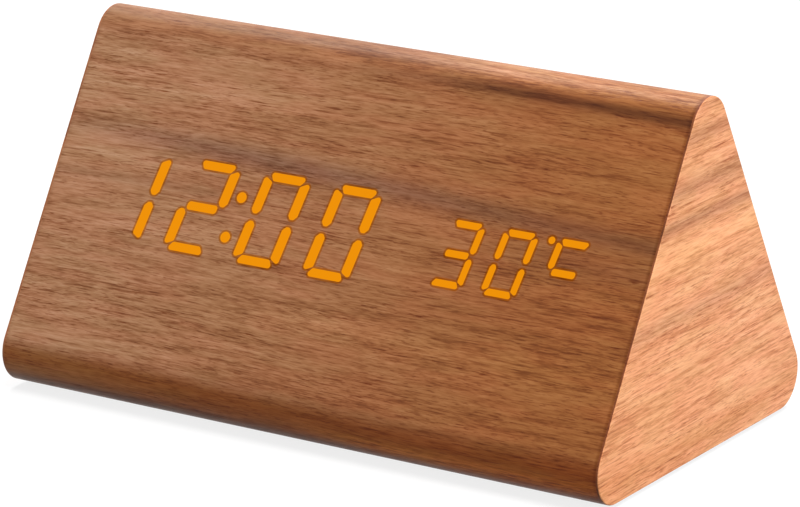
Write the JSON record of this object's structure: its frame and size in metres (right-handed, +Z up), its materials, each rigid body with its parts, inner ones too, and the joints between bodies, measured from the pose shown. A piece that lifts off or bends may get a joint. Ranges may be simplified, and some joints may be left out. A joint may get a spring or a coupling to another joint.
{
  "type": "digital alarm clock",
  "caption": "Triangular wooden digital alarm clock with lit time and temperature digits, rear buttons, power inlet and battery bay in its base.",
  "frame": {"origin": "on the surface that the feet stand on, under the middle of the body", "axes": "+Z up, +X along the body to the right of someone who faces the digits, +Y to the rear"},
  "size_m": [0.15, 0.087, 0.0784],
  "materials": {
    "walnut": "satin walnut-coloured veneer",
    "end_veneer": "satin, paler veneer",
    "fibreboard": "raw board",
    "foot_rubber": "matte",
    "black_plastic": "fine texture",
    "white_plastic": "matte",
    "button_grey": "satin",
    "component_black": "moulded",
    "lit_amber": "lit from behind",
    "circuit_board": "solder mask",
    "screw_steel": "zinc plated",
    "contact_nickel": "nickel plated",
    "cell": "printed sleeve, plain",
    "sensor_bead": "dipped",
    "ribbon_grey": "matte",
    "red_insulation": "satin",
    "black_insulation": "satin"
  },
  "bodies": {
    "body": {"wood_sleeve": "walnut", "left_end_board": "fibreboard", "right_end_board": "fibreboard", "left_end_veneer": "end_veneer", "right_end_veneer": "end_veneer", "front_left_foot": "foot_rubber", "front_right_foot": "foot_rubber", "rear_left_foot": "foot_rubber", "rear_right_foot": "foot_rubber", "base_cover": "black_plastic", "base_screw_1": "screw_steel", "base_screw_2": "screw_steel", "base_screw_3": "screw_steel", "base_screw_4": "screw_steel", "battery_cell_1": "cell", "battery_cell_2": "cell", "battery_cell_3": "cell", "battery_cell_4": "cell", "positive_battery_contact": "contact_nickel", "negative_battery_contact": "contact_nickel", "left_battery_bridge": "contact_nickel", "front_battery_bridge": "contact_nickel", "rear_battery_bridge": "contact_nickel", "time_lens": "lit_amber", "temperature_lens": "lit_amber", "display_reflector": "white_plastic", "display_board": "circuit_board", "display_screw_1": "screw_steel", "display_screw_2": "screw_steel", "display_screw_3": "screw_steel", "display_screw_4": "screw_steel", "rear_control_panel": "black_plastic", "panel_screw_1": "screw_steel", "panel_screw_2": "screw_steel", "up_switch_body": "component_black", "set_switch_body": "component_black", "down_switch_body": "component_black", "dc_jack": "component_black", "dc_jack_pin": "contact_nickel", "control_board": "circuit_board", "board_screw_1": "screw_steel", "board_screw_2": "screw_steel", "buzzer": "component_black", "microcontroller": "component_black", "clock_crystal": "contact_nickel", "temperature_sensor": "sensor_bead", "ribbon_cable": "ribbon_grey", "red_battery_lead": "red_insulation", "black_battery_lead": "black_insulation"},
    "door": {"battery_door": "black_plastic"},
    "up_button": {"up_button": "button_grey", "up_switch_plunger": "black_plastic"},
    "set_button": {"set_button": "button_grey", "set_switch_plunger": "black_plastic"},
    "down_button": {"down_button": "button_grey", "down_switch_plunger": "black_plastic"}
  },
  "joints": [
    {"name": "battery_door_hinge", "type": "hinge", "parent": "body", "child": "door", "pos_m": [0, 0.02285, 0.001], "axis": [1, 0, 0], "range_deg": [0, 85]},
    {"name": "up_button_press", "type": "slide", "parent": "body", "child": "up_button", "axis": [0, -0.866, -0.5], "range_m": [0, 0.0006], "stiffness_N_per_m": 1500, "springref_m": -0.0003},
    {"name": "set_button_press", "type": "slide", "parent": "body", "child": "set_button", "axis": [0, -0.866, -0.5], "range_m": [0, 0.0006], "stiffness_N_per_m": 1500, "springref_m": -0.0003},
    {"name": "down_button_press", "type": "slide", "parent": "body", "child": "down_button", "axis": [0, -0.866, -0.5], "range_m": [0, 0.0006], "stiffness_N_per_m": 1500, "springref_m": -0.0003}
  ]
}
